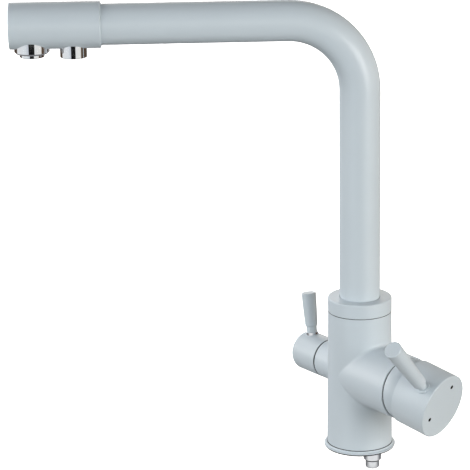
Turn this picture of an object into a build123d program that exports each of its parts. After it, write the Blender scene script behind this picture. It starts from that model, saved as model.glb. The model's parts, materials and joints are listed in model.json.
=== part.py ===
from build123d import *
import math
import os

# A deck tap that mixes hot and cold water and also serves filtered drinking water.
# The frame: millimetres, origin on the body's axis at the deck's surface, +Z up,
# +X towards the mixer's cap, -X towards the filter valve, -Y towards the person.

# Clearances and small sizes that many pieces share
running_gap = 0.05
thread_gap = 0.05
curved_gap = 0.3
overrun = 2.0
edge_round = 0.4
on_base = (Align.CENTER, Align.CENTER, Align.MIN)

# Spout tube, which the seats below follow
tube_radius = 15.15
tube_wall = 1.2
spout_height = 330.8
bend_radius = 52.5
spout_turn = -125.0
filter_tube_radius = 4.0
filter_tube_wall = 1.0
tube_bore_radius = tube_radius - tube_wall

# Body, with a slight taper down to its foot
body_top_radius = 23.9
body_taper = 0.8
body_height = 105.8
body_seam_chamfer = 0.3
neck_inset = 2.8
neck_height = 6.0
body_foot_radius = body_top_radius + body_taper
neck_radius = body_top_radius - neck_inset

# Gasket and foot ring, whose flared crest goes round the body's foot
gasket_height = 1.2
gasket_inset = 2.0
gasket_bore_radius = 19.0
ring_height = 2.25
ring_rim_height = 0.9
ring_crest_width = 0.35
ring_flare_width = 1.8
ring_body_gap = 0.15
ring_lip_height = 1.2
ring_lip_width = 2.7
deck_spigot_radius = 17.0
deck_spigot_depth = 1.5
ring_bore_radius = body_foot_radius + ring_body_gap
ring_crest_radius = ring_bore_radius + ring_crest_width
ring_radius = ring_crest_radius + ring_flare_width
ring_lip_bore_radius = ring_bore_radius - ring_lip_width
gasket_radius = ring_radius - gasket_inset
body_bottom = gasket_height + ring_lip_height
body_top = body_bottom + body_height
neck_top = body_top + neck_height

# Stud thread and supply threads in the foot
stud_hole_radius = 3.4
stud_hole_depth = 19.5
inlet_radius = 4.5
inlet_depth = 14.0
inlet_edge = 0.8
inlet_angle = 110.0
inlet_rise = 45.0
supply_passage_radius = 2.6
filter_passage_radius = 2.0
inlet_place_radius = deck_spigot_radius - inlet_radius - inlet_edge
inlet_x = inlet_place_radius * math.cos(math.radians(inlet_angle))
inlet_y = inlet_place_radius * math.sin(math.radians(inlet_angle))

# Filtered water inlet nipple
nipple_angle = 33.0
nipple_edge = 0.05
nipple_thread_radius = 4.45
nipple_thread_length = 9.0
nipple_collar_radius = 6.7
nipple_collar_length = 8.8
nipple_tail_radius = 5.25
nipple_tail_length = 7.1
nipple_groove_width = 1.4
nipple_groove_depth = 1.0
nipple_tail_round = 1.5
nipple_cross_height = 25.0
nipple_place_radius = deck_spigot_radius - nipple_collar_radius - nipple_edge
nipple_x = nipple_place_radius * math.cos(math.radians(nipple_angle))
nipple_y = nipple_place_radius * math.sin(math.radians(nipple_angle))

# Spout seat in the top of the body
spout_foot_wall = 2.0
spout_bore_depth = 28.0
riser_radius = 5.5
riser_seat_depth = 10.0
riser_seat_gap = 1.0
riser_bore_radius = 2.8
riser_groove_depth = 1.5
riser_groove_width = 1.8
riser_groove_below_top = 6.0
glide_ring_height = 2.0
glide_ring_width = 3.1
top_ring_height = 1.4
collar_overhang = 0.1
collar_lip_height = 3.5
collar_top_round = 1.2
spout_bore_radius = tube_radius + spout_foot_wall
spout_bore_floor = neck_top - spout_bore_depth
riser_hole_floor = spout_bore_floor - riser_seat_depth
riser_bottom = riser_hole_floor + riser_seat_gap
top_ring_top = neck_top + top_ring_height
collar_top = top_ring_top + collar_lip_height
collar_radius = body_top_radius + collar_overhang

# Spout foot, a sleeve with a hub that turns over the riser spigot
foot_cavity_inset = 1.8
foot_neck_length = 14.0
foot_hub_radius = 7.5
foot_hub_lift = 2.0
foot_hub_recess = 3.9
foot_hub_floor = 6.2
foot_web_thickness = 2.4
foot_web_lift = 12.0
foot_web_height = 14.0
foot_web_count = 3
foot_socket_depth = 8.0
foot_groove_width = 3.6
foot_groove_depth = 3.2
foot_groove_lifts = (4.6, 11.6)
foot_ring_thickness = 3.0
foot_cavity_radius = tube_bore_radius - foot_cavity_inset
foot_radius = spout_bore_radius - running_gap
foot_bottom = spout_bore_floor + glide_ring_height + running_gap
foot_top = neck_top - running_gap
hub_bottom = foot_bottom + foot_hub_lift
hub_top = foot_top + foot_neck_length - foot_hub_recess
hub_socket_floor = hub_top - foot_socket_depth
riser_top = hub_socket_floor - foot_hub_floor

# Outlet head on the end of the spout
head_wall = 2.0
head_start = 188.3
head_length = 66.7
head_round = 0.9
head_socket_depth = 10.2
head_bore_inset = 2.4
head_plug_step = 1.6
head_plug_depth = 3.5
head_plug_recess = 0.5
head_radius = tube_radius + head_wall
head_bore_radius = tube_bore_radius - head_bore_inset
head_plug_radius = head_bore_radius + head_plug_step
head_end = head_start + head_length
tube_end = head_start + head_socket_depth

# Mixed water outlet: chrome housing, mouth ring, insert and washer
aerator_from_end = 16.1
aerator_radius = 13.0
aerator_below_head = 3.05
aerator_chamfer = 1.3
aerator_stem_inset = 1.0
aerator_stem_wall = 1.1
aerator_stem_rise = 1.9
aerator_lip_width = 2.35
aerator_lip_height = 1.6
aerator_mouth_inset = 0.3
aerator_mouth_wall = 1.3
aerator_mouth_length = 2.8
aerator_mouth_climb = 6.5
aerator_washer_height = 1.0
aerator_insert_recess = 0.8
aerator_hole_radius = 0.55
aerator_row_radii = (2.4, 4.8)
aerator_row_counts = (6, 12)
aerator_reach = head_end - aerator_from_end
aerator_drop = head_radius + aerator_below_head
aerator_stem_radius = head_bore_radius - aerator_stem_inset
aerator_stem_top = head_bore_radius - aerator_stem_rise
aerator_bore_radius = aerator_stem_radius - aerator_stem_wall
aerator_lip_radius = aerator_bore_radius - aerator_lip_width
aerator_mouth_radius = aerator_bore_radius - aerator_mouth_inset
aerator_mouth_bore_radius = aerator_mouth_radius - aerator_mouth_wall
aerator_mouth_drop = aerator_drop + aerator_mouth_length

# Drinking water outlet: chrome nozzle, insert and washer
nozzle_from_aerator = 30.2
nozzle_radius = 10.0
nozzle_below_head = 6.5
nozzle_stem_inset = 1.6
nozzle_bore_radius = 5.0
nozzle_shelf_rise = 2.0
nozzle_mouth_wall = 0.9
nozzle_washer_height = 1.0
nozzle_insert_recess = 0.8
nozzle_hole_radius = 0.7
nozzle_hole_ring_radius = 3.6
nozzle_hole_count = 6
nozzle_reach = aerator_reach - nozzle_from_aerator
nozzle_drop = head_radius + nozzle_below_head
nozzle_shelf = head_radius - nozzle_shelf_rise
nozzle_stem_radius = nozzle_radius - nozzle_stem_inset
nozzle_mouth_radius = nozzle_stem_radius - nozzle_mouth_wall

# Elbow that leads filtered water from its tube down to the nozzle
elbow_radius = 7.0
elbow_tube_gap = 1.5
elbow_socket_depth = 5.0
elbow_bore_radius = 2.5
elbow_leg_rise = 1.4
elbow_groove_rise = 3.1
elbow_groove_width = 1.2
elbow_groove_depth = 0.9
elbow_start = tube_end + elbow_tube_gap
elbow_leg_drop = nozzle_shelf - elbow_leg_rise
elbow_groove_drop = nozzle_shelf - elbow_groove_rise

# Mixer: the cartridge stands in the boss on the right, and its pivot is at the boss's end
mixer_height = 60.8
boss_radius = 24.0
boss_reach = 53.9
boss_round = 0.5
boss_blend = 3.0
cartridge_depth = 21.6
cartridge_fit = 0.1
port_radius = 2.6
supply_port_up = -6.5
supply_port_across = 8.5
mixed_port_up = 7.5
mixed_port_radius = 3.0
port_seal_thickness = 1.5
port_seal_gap = 0.6
port_seal_radius = 3.9
foot_plate_height = 0.9
foot_plug_height = 3.5
housing_radius = 17.5
housing_wall = 3.3
housing_rise = 4.9
housing_top_wall = 1.4
housing_neck_inset = 3.0
housing_neck_height = 2.5
housing_opening_radius = 9.45
ceramic_disc_inset = 0.7
ceramic_disc_height = 3.5
moving_disc_inset = 2.7
moving_disc_height = 2.95
carrier_inset = 0.5
carrier_rotor_gap = 0.5
rotor_height = 7.3
rotor_neck_rise = 4.0
cartridge_seat = boss_reach - cartridge_depth
cartridge_bore_radius = housing_radius + cartridge_fit
housing_cavity_radius = housing_radius - housing_wall
housing_neck_radius = housing_radius - housing_neck_inset
foot_plug_radius = housing_cavity_radius - cartridge_fit
ceramic_disc_radius = housing_cavity_radius - ceramic_disc_inset
moving_disc_radius = housing_cavity_radius - moving_disc_inset
carrier_radius = moving_disc_radius - carrier_inset
housing_top = boss_reach + housing_rise
supply_port_z = mixer_height + supply_port_up
mixed_port_z = mixer_height + mixed_port_up
mixed_rise_radius = (foot_hub_radius + foot_cavity_radius) / 2

# Mixer stem, clamp nut and dome ring
stem_width = 7.0
stem_slot_gap = 0.1
stem_slot_clearance = 0.5
stem_pin_radius = 1.5
stem_ball_radius = 2.6
stem_ball_reach = 5.6
stem_ball_neck = 3.4
stem_length = 22.0
nut_thread_length = 6.6
nut_thread_wall = 1.45
nut_run_out = 1.0
nut_outer_inset = 0.45
nut_lip_width = 2.9
nut_lip_height = 1.5
dome_start_gap = 0.9
dome_reach = 13.5
dome_wall = 2.0
nut_start = boss_reach - nut_thread_length
nut_bore_start = nut_start - nut_run_out
nut_bore_radius = cartridge_bore_radius + nut_thread_wall
nut_outer_radius = nut_bore_radius - nut_outer_inset
nut_lip_radius = cartridge_bore_radius - nut_lip_width
nut_end = housing_top + nut_lip_height

# Mixer handle: cap, lever rod and what fixes them
lever_turn = 43.8
cap_tilt = 13.8
cap_radius = 24.7
cap_wall = 1.2
cap_boss_gap = 0.5
cap_reach = 35.3
cap_end_slant = 5.2
cap_end_round = 0.9
cap_end_wall = 4.4
cap_hub_radius = 8.5
cap_hub_start = 12.0
rod_place = 27.0
rod_lean = 1.7
rod_stud_radius = 3.0
rod_stud_length = 12.0
rod_neck_radius = 3.4
rod_neck_length = 6.0
rod_root_radius = 5.2
rod_tip_radius = 6.45
rod_length = 58.0
rod_shoulder = 0.9
rod_tip_round = 0.6
rod_boss_radius = 5.5
seat_radius = 5.3
seat_height = 0.9
grub_radius = 2.5
grub_length = 5.0
grub_place = 17.0
grub_key_radius = 1.2
grub_key_depth = 2.4
grub_way_radius = 3.0
dot_radius = 1.1
dot_depth = 1.0
dot_up = 5.7
dot_across = 14.7
tilt_cosine = math.cos(math.radians(cap_tilt))
tilt_sine = math.sin(math.radians(cap_tilt))
cap_bore_radius = cap_radius - cap_wall
cap_rim = (cap_radius * tilt_sine + cap_boss_gap) / tilt_cosine
dome_radius = cap_bore_radius - curved_gap

# Filter valve in the boss on the left, with its own small cap and lever
valve_height = 59.4
valve_boss_reach = 36.8
valve_bore_inset = 4.85
valve_boss_blend = 1.0
valve_bore_depth = 19.0
valve_port_offset = 5.0
valve_seal_height = 1.2
valve_disc_height = 2.0
valve_disc_inset = 0.15
valve_cavity_inset = 0.65
valve_moving_height = 1.95
valve_moving_inset = 0.1
valve_driver_height = 2.6
valve_cavity_height = 4.8
headwork_flange_height = 2.0
headwork_neck_radius = 7.5
headwork_neck_height = 8.5
spindle_radius = 3.5
spindle_end_depth = 9.5
spindle_groove_inset = 4.0
spindle_groove_width = 1.4
spindle_groove_depth = 0.9
clip_height = 0.9
clip_width = 2.4
clip_groove_depth = 0.6
clip_mouth = 4.0
small_cap_radius = 15.0
small_cap_overhang = 0.1
small_cap_wall = 1.7
small_cap_gap = 1.0
small_cap_length = 27.8
small_cap_round = 3.0
small_cap_cavity_depth = 11.5
valve_boss_radius = small_cap_radius - small_cap_overhang
valve_bore_radius = valve_boss_radius - valve_bore_inset
valve_disc_radius = valve_bore_radius - valve_disc_inset
valve_cavity_radius = valve_bore_radius - valve_cavity_inset
valve_moving_radius = valve_cavity_radius - valve_moving_inset
valve_seat = valve_boss_reach - valve_bore_depth
small_cavity_radius = small_cap_radius - small_cap_wall
headwork_flange_radius = small_cavity_radius - curved_gap
small_cap_start = valve_boss_reach + small_cap_gap
small_cap_end = small_cap_start + small_cap_length
small_cavity_end = small_cap_start + small_cap_cavity_depth
spindle_reach = small_cavity_end + spindle_end_depth
spindle_groove_place = valve_boss_reach - spindle_groove_inset

# Filter valve's lever and grub screw
small_rod_from_end = 8.0
small_rod_lean = 7.2
small_rod_stud_radius = 2.5
small_rod_stud_length = 6.5
small_rod_neck_radius = 4.0
small_rod_neck_length = 5.5
small_rod_belly_radius = 5.2
small_rod_tip_radius = 5.6
small_rod_length = 32.3
small_rod_belly_share = 0.45
small_rod_shoulder = 1.6
small_seat_radius = 4.8
small_seat_height = 1.1
small_grub_radius = 2.0
small_grub_length = 5.0
small_grub_key_radius = 1.0
small_rod_place = small_cap_end - small_rod_from_end


def tube_piece(outer, inner, low, high):
    # A round tube, or a plain rod where the inner radius is zero, standing on Z
    piece = Pos(0, 0, low) * Cylinder(outer, high - low, align=on_base)
    if inner > 0:
        piece -= Pos(0, 0, low - overrun) * Cylinder(inner, high - low + 2 * overrun, align=on_base)
    return piece


def turned(points):
    # A solid turned about Z from points of radius and height
    profile = make_face(Polyline(*points, close=True))
    return revolve(Rot(90, 0, 0) * profile, Axis.Z)


def drilled(points, radius):
    # A drilled passage through the points, each run going its own radius past a corner
    runs = []
    later_points = points[1:]
    for first, second in zip(points, later_points):
        start = Vector(*first)
        end = Vector(*second)
        way = (end - start).normalized()
        if first is not points[0]:
            start = start - way * radius
        if second is not later_points[-1]:
            end = end + way * radius
        plane = Plane(origin=start, z_dir=way)
        runs.append(plane * Cylinder(radius, (end - start).length, align=on_base))
    return runs


def rounded(piece, axis, places, radius):
    # The circular edges at the given ends of a turned piece, rounded
    groups = piece.edges().filter_by(GeomType.CIRCLE).group_by(axis)
    edges = ShapeList()
    for place in places:
        edges += groups[place]
    return fillet(edges, radius)


def blended(barrel, boss, side, radius):
    # A boss joined to the barrel on one side of X, with the curve where they meet rounded off
    joined = barrel + boss
    curves = [edge for edge in joined.edges() if edge.geom_type not in (GeomType.CIRCLE, GeomType.LINE)]
    meeting = [edge for edge in curves if edge.center().X * side > 0]
    return fillet(meeting, radius)


def swept_rod(radius, low, end):
    # A rod along the spout's path, from its height on the body's axis to its reach
    bend_low = spout_height - bend_radius
    rise = Line((0, 0, low), (0, 0, bend_low))
    bend = TangentArc((0, 0, bend_low), (bend_radius, 0, spout_height), tangent=(0, 0, 1))
    level = Line((bend_radius, 0, spout_height), (end, 0, spout_height))
    section = Pos(0, 0, low) * Circle(radius)
    return sweep(section, path=Wire([rise, bend, level]))


# Places of the two side axes: local Z runs outwards, local X is up, local Y is to the front
# on the mixer's side and to the back on the filter valve's side
mixer_axis = Pos(0, 0, mixer_height) * Rot(0, 90, 0) * Rot(0, 0, 180)
valve_axis = Pos(0, 0, valve_height) * Rot(0, -90, 0)
spout_axis = Rot(0, 0, spout_turn)
handle_turned = mixer_axis * Rot(0, 0, lever_turn)
handle_axis = handle_turned * Pos(0, 0, boss_reach) * Rot(0, -cap_tilt, 0)
pieces = {}

# Body casting
casting = turned([
    (0, -deck_spigot_depth),
    (deck_spigot_radius, -deck_spigot_depth),
    (deck_spigot_radius, gasket_height),
    (ring_lip_bore_radius - ring_body_gap, gasket_height),
    (ring_lip_bore_radius - ring_body_gap, body_bottom),
    (body_foot_radius, body_bottom),
    (body_top_radius, body_top - body_seam_chamfer),
    (body_top_radius - body_seam_chamfer, body_top),
    (neck_radius, body_top),
    (neck_radius, neck_top),
    (0, neck_top),
])
mixer_boss = rounded(tube_piece(boss_radius, 0, 0, boss_reach), Axis.Z, (-1,), boss_round)
valve_boss = rounded(tube_piece(valve_boss_radius, 0, 0, valve_boss_reach), Axis.Z, (-1,), boss_round)
casting = blended(casting, valve_axis * valve_boss, -1, valve_boss_blend)
casting = blended(casting, mixer_axis * mixer_boss, 1, boss_blend)
casting -= tube_piece(spout_bore_radius, 0, spout_bore_floor, neck_top + overrun)
casting -= tube_piece(riser_radius + thread_gap, 0, riser_hole_floor, spout_bore_floor + overrun)
casting -= mixer_axis * tube_piece(cartridge_bore_radius, 0, cartridge_seat, boss_reach + overrun)
casting -= mixer_axis * tube_piece(nut_bore_radius, 0, nut_bore_start, boss_reach + overrun)
casting -= valve_axis * tube_piece(valve_bore_radius, 0, valve_seat, valve_boss_reach + overrun)
casting -= tube_piece(stud_hole_radius, 0, -deck_spigot_depth - overrun, stud_hole_depth - deck_spigot_depth)
for side in (-1, 1):
    inlet_place = Pos(inlet_x, side * inlet_y, 0)
    inlet_top = inlet_depth - deck_spigot_depth
    casting -= inlet_place * tube_piece(inlet_radius, 0, -deck_spigot_depth - overrun, inlet_top)
    supply_way = [
        (inlet_x, side * inlet_y, inlet_top - overrun),
        (inlet_x, side * inlet_y, inlet_rise),
        (cartridge_seat + overrun, side * supply_port_across, supply_port_z),
    ]
    casting -= drilled(supply_way, supply_passage_radius)
mixed_way = [
    (cartridge_seat + overrun, 0, mixed_port_z),
    (mixed_rise_radius, 0, mixed_port_z),
    (mixed_rise_radius, 0, spout_bore_floor + overrun),
]
casting -= drilled(mixed_way, mixed_port_radius)
nipple_hole_top = nipple_thread_length - deck_spigot_depth + overrun
nipple_place = Pos(nipple_x, nipple_y, 0)
nipple_hole = tube_piece(nipple_thread_radius + thread_gap, 0, -deck_spigot_depth - overrun, nipple_hole_top)
casting -= nipple_place * nipple_hole
filter_way_in = [
    (nipple_x, nipple_y, nipple_hole_top - overrun),
    (nipple_x, nipple_y, nipple_cross_height),
    (0, 0, nipple_cross_height),
    (0, 0, valve_height - valve_port_offset),
    (-valve_seat - overrun, 0, valve_height - valve_port_offset),
]
filter_way_out = [
    (-valve_seat - overrun, 0, valve_height + valve_port_offset),
    (0, 0, valve_height + valve_port_offset),
    (0, 0, riser_hole_floor + overrun),
]
casting -= drilled(filter_way_in, filter_passage_radius)
casting -= drilled(filter_way_out, filter_passage_radius)
pieces["body_casting"] = casting

# Foot ring with a flared top, and the gasket under it
ring_top = gasket_height + ring_height
ring_outline = Polyline(
    (ring_crest_radius, ring_top),
    (ring_bore_radius, ring_top),
    (ring_bore_radius, body_bottom),
    (ring_lip_bore_radius, body_bottom),
    (ring_lip_bore_radius, gasket_height),
    (ring_radius, gasket_height),
    (ring_radius, gasket_height + ring_rim_height),
)
ring_flare = TangentArc(
    (ring_crest_radius, ring_top),
    (ring_radius, gasket_height + ring_rim_height),
    tangent=(0, -1),
)
ring_profile = make_face([*ring_outline.edges(), *ring_flare.edges()])
base_ring = revolve(Rot(90, 0, 0) * ring_profile, Axis.Z)
pieces["base_ring"] = base_ring
pieces["base_gasket"] = tube_piece(gasket_radius, gasket_bore_radius, 0, gasket_height)

# Nipple for the filtered water hose, and its sealing ring
tail_top = -deck_spigot_depth - nipple_collar_length
tail_bottom = tail_top - nipple_tail_length
groove_bottom = tail_top - nipple_groove_width
nipple = turned([
    (filter_passage_radius, nipple_thread_length - deck_spigot_depth),
    (nipple_thread_radius, nipple_thread_length - deck_spigot_depth),
    (nipple_thread_radius, -deck_spigot_depth),
    (nipple_collar_radius, -deck_spigot_depth),
    (nipple_collar_radius, tail_top),
    (nipple_tail_radius - nipple_groove_depth, tail_top),
    (nipple_tail_radius - nipple_groove_depth, groove_bottom),
    (nipple_tail_radius, groove_bottom),
    (nipple_tail_radius, tail_bottom),
    (filter_passage_radius, tail_bottom),
])
tail_edges = nipple.edges().filter_by(GeomType.CIRCLE).group_by(Axis.Z)[0].sort_by(SortBy.RADIUS)
nipple = fillet(tail_edges[-1:], nipple_tail_round)
pieces["filter_inlet_nipple"] = nipple_place * nipple
nipple_ring_minor = nipple_groove_width / 2 - running_gap
nipple_ring_major = nipple_tail_radius - nipple_groove_depth + nipple_ring_minor + running_gap
nipple_ring_z = tail_top - nipple_groove_width / 2
nipple_ring = Torus(nipple_ring_major, nipple_ring_minor)
pieces["nipple_o_ring"] = nipple_place * Pos(0, 0, nipple_ring_z) * nipple_ring

# Riser spigot that brings filtered water up into the spout, with its sealing ring
riser_groove_top = riser_top - riser_groove_below_top
riser_groove_bottom = riser_groove_top - riser_groove_width
riser_groove_radius = riser_radius - riser_groove_depth
pieces["riser_spigot"] = turned([
    (riser_bore_radius, riser_bottom),
    (riser_radius, riser_bottom),
    (riser_radius, riser_groove_bottom),
    (riser_groove_radius, riser_groove_bottom),
    (riser_groove_radius, riser_groove_top),
    (riser_radius, riser_groove_top),
    (riser_radius, riser_top - edge_round),
    (riser_radius - edge_round, riser_top),
    (riser_bore_radius, riser_top),
])
riser_ring_minor = (riser_groove_depth - running_gap) / 2
riser_ring_z = (riser_groove_top + riser_groove_bottom) / 2
riser_ring_major = riser_radius - riser_ring_minor - running_gap / 2
pieces["riser_o_ring"] = Pos(0, 0, riser_ring_z) * Torus(riser_ring_major, riser_ring_minor)

# Glide rings under and over the spout's foot, and the collar that holds it down
glide_outer = spout_bore_radius - running_gap
glide_inner = glide_outer - glide_ring_width
glide_top = spout_bore_floor + glide_ring_height
pieces["lower_glide_ring"] = tube_piece(glide_outer, glide_inner, spout_bore_floor, glide_top)
lip_bore = tube_radius + curved_gap
collar_bore = neck_radius + thread_gap
pieces["upper_glide_ring"] = tube_piece(neck_radius, lip_bore, neck_top, top_ring_top)
collar = turned([
    (collar_bore, body_top),
    (collar_radius - body_seam_chamfer, body_top),
    (collar_radius, body_top + body_seam_chamfer),
    (collar_radius, collar_top),
    (lip_bore, collar_top),
    (lip_bore, top_ring_top),
    (collar_bore, top_ring_top),
])
collar_rim = collar.edges().filter_by(GeomType.CIRCLE).group_by(Axis.Z)[-1].sort_by(SortBy.RADIUS)
pieces["spout_collar"] = fillet(collar_rim[-1:], collar_top_round)

# Spout foot: a sleeve that turns in the body, with a hub over the riser spigot
spout_foot = tube_piece(foot_radius, foot_cavity_radius, foot_bottom, foot_top)
foot_neck_radius = tube_bore_radius - thread_gap
spout_foot += tube_piece(foot_neck_radius, foot_cavity_radius, foot_top, foot_top + foot_neck_length)
hub_bore = riser_radius + running_gap
hub_socket = filter_tube_radius + thread_gap
spout_foot += tube_piece(foot_hub_radius, 0, hub_bottom, hub_top)
web_length = foot_cavity_radius + overrun / 2 - foot_hub_radius / 2
for index in range(foot_web_count):
    web = Box(web_length, foot_web_thickness, foot_web_height, align=(Align.MIN, Align.CENTER, Align.MIN))
    web_place = Pos(foot_hub_radius / 2, 0, hub_bottom + foot_web_lift)
    spout_foot += Rot(0, 0, index * 360 / foot_web_count) * web_place * web
spout_foot -= tube_piece(hub_bore, 0, hub_bottom - overrun, riser_top + running_gap)
spout_foot -= tube_piece(riser_bore_radius, 0, riser_top, hub_top + overrun)
spout_foot -= tube_piece(hub_socket, 0, hub_socket_floor, hub_top + overrun)
groove_floor = foot_radius - foot_groove_depth
foot_ring_minor = foot_ring_thickness / 2
foot_ring_major = foot_radius - foot_ring_minor - 2 * running_gap
foot_rings = []
for lift in foot_groove_lifts:
    groove_low = foot_bottom + lift
    groove = tube_piece(foot_radius + overrun, groove_floor, groove_low, groove_low + foot_groove_width)
    spout_foot -= groove
    ring_place = Pos(0, 0, groove_low + foot_groove_width / 2)
    foot_rings.append(ring_place * Torus(foot_ring_major, foot_ring_minor))
pieces["spout_foot"] = spout_axis * spout_foot
pieces["spout_foot_o_rings"] = Compound(foot_rings)

# Spout tube, and the small filter tube inside it
elbow_socket_floor = elbow_start + elbow_socket_depth
spout_tube = swept_rod(tube_radius, foot_top, tube_end) - swept_rod(tube_bore_radius, foot_top, tube_end)
filter_tube = swept_rod(filter_tube_radius, hub_socket_floor, elbow_socket_floor)
filter_tube -= swept_rod(filter_tube_radius - filter_tube_wall, hub_socket_floor, elbow_socket_floor)
pieces["spout_tube"] = spout_axis * spout_tube
pieces["filter_tube"] = spout_axis * filter_tube

# Outlet head: a sleeve on the end of the tube, closed by a plug
head_axis = spout_axis * Pos(0, 0, spout_height) * Rot(0, 90, 0)
head = rounded(tube_piece(head_radius, 0, head_start, head_end), Axis.Z, (0, -1), head_round)
head -= tube_piece(tube_radius + thread_gap, 0, head_start - overrun, tube_end)
head -= tube_piece(head_bore_radius, 0, tube_end, head_end + overrun)
plug_floor = head_end - head_plug_recess - head_plug_depth
head -= tube_piece(head_plug_radius + thread_gap, 0, plug_floor, head_end + overrun)
plug = rounded(
    tube_piece(head_plug_radius, 0, plug_floor, head_end - head_plug_recess), Axis.Z, (-1,), edge_round
)
pieces["head_plug"] = head_axis * plug
outlet_head = head_axis * head
aerator_place = spout_axis * Pos(aerator_reach, 0, spout_height)
nozzle_place = spout_axis * Pos(nozzle_reach, 0, spout_height)
aerator_hole = tube_piece(aerator_stem_radius + thread_gap, 0, -head_radius - overrun, 0)
nozzle_hole = tube_piece(nozzle_stem_radius + thread_gap, 0, -head_radius - overrun, 0)
outlet_head -= aerator_place * aerator_hole
outlet_head -= nozzle_place * nozzle_hole
pieces["outlet_head"] = outlet_head
head_skin = head_axis * tube_piece(head_radius, 0, head_start, head_end)

# Filter elbow in the head, from the small tube down to the drinking nozzle
elbow_end = nozzle_reach + elbow_radius
elbow = head_axis * rounded(tube_piece(elbow_radius, 0, elbow_start, elbow_end), Axis.Z, (0, -1), edge_round)
leg_radius = nozzle_bore_radius - thread_gap
leg_groove_low = -elbow_groove_drop - elbow_groove_width
leg_groove_radius = leg_radius - elbow_groove_depth
leg_groove = tube_piece(leg_radius + overrun, leg_groove_radius, leg_groove_low, -elbow_groove_drop)
elbow += nozzle_place * tube_piece(leg_radius, 0, -elbow_leg_drop, 0)
elbow -= nozzle_place * leg_groove
elbow -= head_axis * tube_piece(filter_tube_radius + thread_gap, 0, elbow_start - overrun, elbow_socket_floor)
elbow -= head_axis * tube_piece(elbow_bore_radius, 0, elbow_start, nozzle_reach + elbow_bore_radius)
elbow -= nozzle_place * tube_piece(elbow_bore_radius, 0, -elbow_leg_drop - overrun, 0)
pieces["filter_elbow"] = elbow
leg_ring_minor = (elbow_groove_depth - running_gap) / 2
leg_ring = Torus(leg_radius - leg_ring_minor, leg_ring_minor)
leg_ring_drop = elbow_groove_drop + elbow_groove_width / 2
pieces["elbow_o_ring"] = nozzle_place * Pos(0, 0, -leg_ring_drop) * leg_ring

# Aerator: the chrome housing under the head, its mouth ring, mesh insert and washer
aerator_top = -aerator_stem_top
housing_floor = aerator_top - aerator_lip_height
housing_collar = turned([
    (0, 0),
    (aerator_radius, 0),
    (aerator_radius, aerator_chamfer - aerator_drop),
    (aerator_radius - aerator_chamfer, -aerator_drop),
    (0, -aerator_drop),
])
aerator_housing = aerator_place * housing_collar - head_skin
aerator_stem = tube_piece(aerator_stem_radius, 0, aerator_chamfer - aerator_drop, aerator_top)
aerator_way = tube_piece(aerator_lip_radius, 0, housing_floor - overrun, aerator_top + overrun)
aerator_housing += aerator_place * aerator_stem
aerator_housing -= aerator_place * aerator_way
aerator_housing -= aerator_place * tube_piece(aerator_bore_radius, 0, -aerator_drop - overrun, housing_floor)
pieces["aerator_housing"] = aerator_housing
washer_floor = housing_floor - aerator_washer_height
aerator_washer = tube_piece(aerator_bore_radius - thread_gap, aerator_lip_radius, washer_floor, housing_floor)
pieces["aerator_washer"] = aerator_place * aerator_washer
mouth_top = -aerator_drop + aerator_mouth_climb
mouth = turned([
    (aerator_mouth_bore_radius, -aerator_mouth_drop),
    (aerator_mouth_radius - edge_round, -aerator_mouth_drop),
    (aerator_mouth_radius, edge_round - aerator_mouth_drop),
    (aerator_mouth_radius, -aerator_drop),
    (aerator_bore_radius - thread_gap, -aerator_drop),
    (aerator_bore_radius - thread_gap, mouth_top),
    (aerator_mouth_bore_radius, mouth_top),
])
pieces["aerator_mouth"] = aerator_place * mouth
insert_low = aerator_insert_recess - aerator_mouth_drop
aerator_insert = tube_piece(aerator_mouth_bore_radius - thread_gap, 0, insert_low, washer_floor)
for row_radius, hole_count in zip(aerator_row_radii, aerator_row_counts):
    for index in range(hole_count):
        hole = tube_piece(aerator_hole_radius, 0, insert_low - overrun, washer_floor + overrun)
        aerator_insert -= Rot(0, 0, index * 360 / hole_count) * Pos(row_radius, 0, 0) * hole
pieces["aerator_insert"] = aerator_place * aerator_insert

# Drinking nozzle beside it, with its own insert and washer
nozzle_collar = turned([
    (0, 0),
    (nozzle_radius, 0),
    (nozzle_radius, edge_round - nozzle_drop),
    (nozzle_radius - edge_round, -nozzle_drop),
    (0, -nozzle_drop),
])
nozzle = nozzle_place * nozzle_collar - head_skin
nozzle += nozzle_place * tube_piece(nozzle_stem_radius, 0, edge_round - nozzle_drop, -aerator_stem_top)
nozzle_way = tube_piece(nozzle_bore_radius, 0, -nozzle_shelf - overrun, -aerator_stem_top + overrun)
nozzle -= nozzle_place * nozzle_way
nozzle -= nozzle_place * tube_piece(nozzle_mouth_radius, 0, -nozzle_drop - overrun, -nozzle_shelf)
pieces["drinking_nozzle"] = nozzle
nozzle_washer_floor = -nozzle_shelf - nozzle_washer_height
nozzle_fit_radius = nozzle_mouth_radius - thread_gap
nozzle_washer = tube_piece(nozzle_fit_radius, nozzle_bore_radius, nozzle_washer_floor, -nozzle_shelf)
pieces["nozzle_washer"] = nozzle_place * nozzle_washer
nozzle_insert_low = nozzle_insert_recess - nozzle_drop
nozzle_insert = tube_piece(nozzle_fit_radius, 0, nozzle_insert_low, nozzle_washer_floor)
for index in range(nozzle_hole_count):
    hole = tube_piece(nozzle_hole_radius, 0, nozzle_insert_low - overrun, nozzle_washer_floor + overrun)
    hole_turn = Rot(0, 0, index * 360 / nozzle_hole_count)
    nozzle_insert -= hole_turn * Pos(nozzle_hole_ring_radius, 0, 0) * hole
pieces["nozzle_insert"] = nozzle_place * nozzle_insert

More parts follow.
